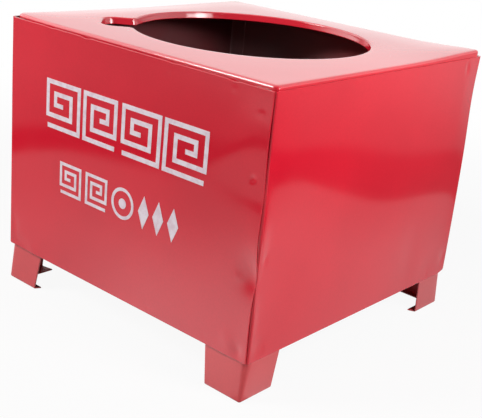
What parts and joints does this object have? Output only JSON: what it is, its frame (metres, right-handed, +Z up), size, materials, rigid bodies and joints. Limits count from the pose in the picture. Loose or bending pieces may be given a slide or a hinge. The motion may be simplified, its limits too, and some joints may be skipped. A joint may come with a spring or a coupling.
{
  "type": "fire extinguisher stand",
  "caption": "Low square stand of folded, spot-welded red sheet steel on short corner legs, with a round collared hole and a hose slot in its top, for one portable fire extinguisher.",
  "frame": {"origin": "on the ground, under the middle of the box", "axes": "+Z up, -Y towards the front, +X to the right seen from the front; the hose slot points to the front left corner"},
  "size_m": [0.232, 0.227, 0.1931],
  "materials": {
    "shell_paint": "gloss red enamel",
    "tray_paint": "red enamel, thin and dull inside",
    "leg_paint": "semi-gloss red enamel"
  },
  "bodies": {
    "root": {"front_panel": "shell_paint", "back_panel": "shell_paint", "left_side_panel": "shell_paint", "right_side_panel": "shell_paint", "top_plate": "shell_paint", "bottom_plate": "tray_paint", "leg_front_left": "leg_paint", "leg_front_right": "leg_paint", "leg_back_left": "leg_paint", "leg_back_right": "leg_paint"}
  },
  "joints": []
}
